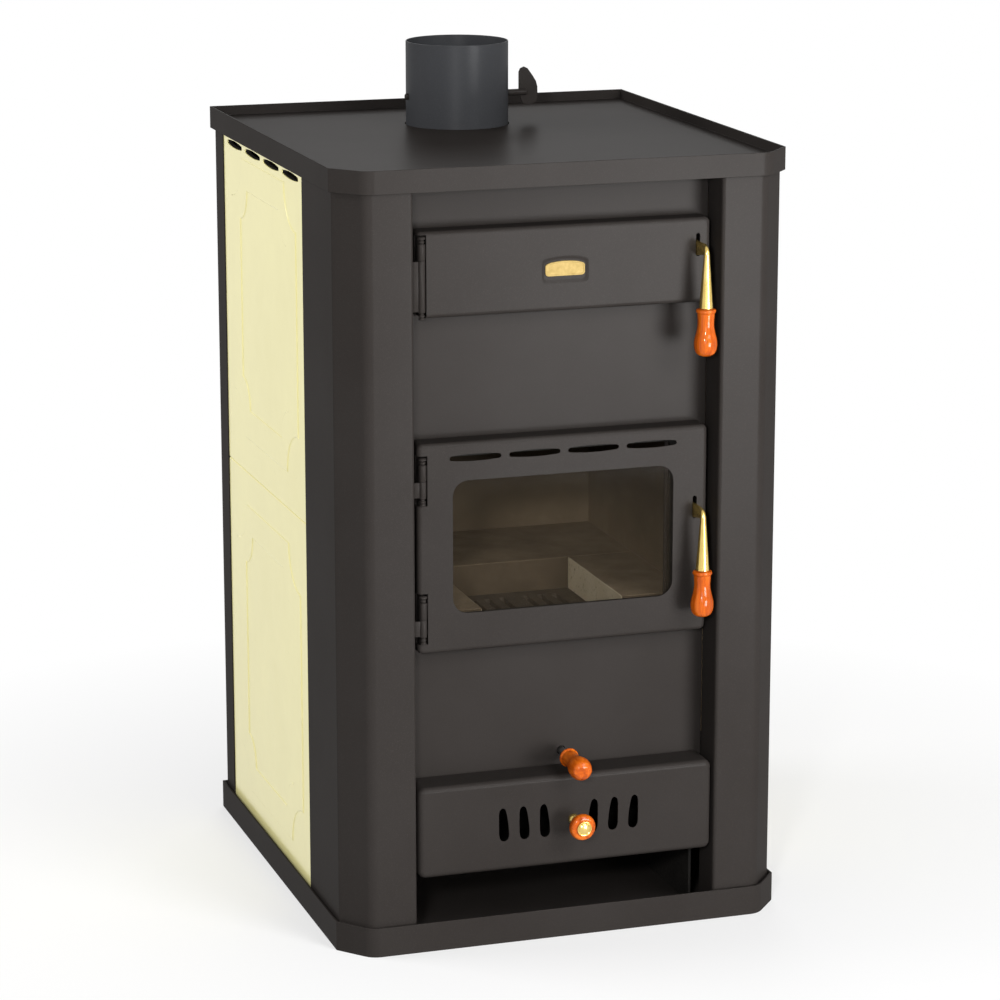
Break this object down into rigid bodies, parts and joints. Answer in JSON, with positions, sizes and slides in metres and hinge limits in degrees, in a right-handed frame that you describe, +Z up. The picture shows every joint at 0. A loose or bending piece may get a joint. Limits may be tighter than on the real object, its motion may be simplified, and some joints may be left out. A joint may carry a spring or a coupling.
{
  "type": "wood stove with boiler",
  "caption": "Free-standing wood stove with a water jacket, tiled sides, a loading door, a glazed fire door, an ash drawer, a riddling grate and a flue damper.",
  "frame": {"origin": "centre of the plinth's footprint, on the floor", "axes": "+Z up, +X to the right seen from the front, the doors and the drawer face -Y, the flue is towards +Y"},
  "size_m": [0.652, 0.7592, 1.202],
  "materials": {
    "casing_paint": "matt charcoal stove paint",
    "tile_enamel": "glossy cream glaze",
    "brass": "polished",
    "turned_wood": "turned, glossy orange-brown lacquer",
    "door_glass": "clear heat-proof glass, lightly smoked",
    "seal_rope": "braided glass-fibre rope",
    "firebrick": "bare firebrick",
    "cast_iron": "as cast",
    "plate_steel": "dark mill scale",
    "bare_steel": "bare"
  },
  "bodies": {
    "stove": {"base_tray": "casing_paint", "top_tray": "casing_paint", "front_post_left": "casing_paint", "front_post_right": "casing_paint", "rear_post_left": "casing_paint", "rear_post_right": "casing_paint", "back_cover": "casing_paint", "front_plate": "casing_paint", "tile_left_lower": "tile_enamel", "tile_left_upper": "tile_enamel", "tile_right_lower": "tile_enamel", "tile_right_upper": "tile_enamel", "tile_backing_left": "plate_steel", "tile_backing_right": "plate_steel", "boiler_jacket": "plate_steel", "firebox_shell": "plate_steel", "ash_chamber": "plate_steel", "baffle_plate": "plate_steel", "flow_socket": "bare_steel", "safety_socket": "bare_steel", "return_socket": "bare_steel", "hearth_plate": "cast_iron", "firebrick_left": "firebrick", "firebrick_right": "firebrick", "firebrick_back": "firebrick", "flue_collar": "casing_paint", "loading_latch_catch": "plate_steel", "fire_latch_catch": "plate_steel", "loading_hinge_frame_half": "casing_paint", "fire_hinge_upper_frame_half": "casing_paint", "fire_hinge_lower_frame_half": "casing_paint"},
    "loading_door": {"loading_door": "casing_paint", "loading_door_liner": "plate_steel", "loading_door_seal": "seal_rope", "badge_plate": "brass", "loading_hinge_door_half": "casing_paint", "loading_latch_bracket": "plate_steel"},
    "loading_latch": {"loading_latch_lever": "brass", "loading_latch_grip": "turned_wood"},
    "fire_door": {"fire_door": "casing_paint", "fire_door_liner": "plate_steel", "fire_door_seal": "seal_rope", "door_glass": "door_glass", "glass_gasket": "seal_rope", "glass_retainer_upper": "plate_steel", "glass_retainer_lower": "plate_steel", "fire_hinge_upper_door_half": "casing_paint", "fire_hinge_lower_door_half": "casing_paint", "fire_latch_bracket": "plate_steel"},
    "fire_latch": {"fire_latch_lever": "brass", "fire_latch_grip": "turned_wood"},
    "ash_drawer": {"ash_drawer_front": "casing_paint", "ash_drawer_box": "plate_steel", "drawer_knob": "turned_wood", "drawer_knob_stud": "brass"},
    "riddling_gear": {"grate": "cast_iron", "riddling_rod": "bare_steel", "riddling_grip": "turned_wood"},
    "damper": {"damper_disc": "casing_paint", "damper_spindle": "casing_paint"}
  },
  "joints": [
    {"name": "loading_door_swing", "type": "hinge", "parent": "stove", "child": "loading_door", "pos_m": [-0.2035, -0.326, 0.947], "axis": [0, 0, -1], "range_deg": [0, 110]},
    {"name": "loading_latch_turn", "type": "hinge", "parent": "loading_door", "child": "loading_latch", "pos_m": [0.192, -0.312, 0.964], "axis": [-1, 0, 0], "range_deg": [0, 30]},
    {"name": "fire_door_swing", "type": "hinge", "parent": "stove", "child": "fire_door", "pos_m": [-0.2035, -0.326, 0.5685], "axis": [0, 0, -1], "range_deg": [0, 110]},
    {"name": "fire_latch_turn", "type": "hinge", "parent": "fire_door", "child": "fire_latch", "pos_m": [0.192, -0.312, 0.595], "axis": [-1, 0, 0], "range_deg": [0, 30]},
    {"name": "ash_drawer_slide", "type": "slide", "parent": "stove", "child": "ash_drawer", "axis": [0, -1, 0], "range_m": [0, 0.3]},
    {"name": "riddling_slide", "type": "slide", "parent": "stove", "child": "riddling_gear", "axis": [0, -1, 0], "range_m": [0, 0.02]},
    {"name": "damper_turn", "type": "hinge", "parent": "stove", "child": "damper", "pos_m": [0, 0.162, 1.1225], "axis": [1, 0, 0], "range_deg": [0, 90]}
  ]
}
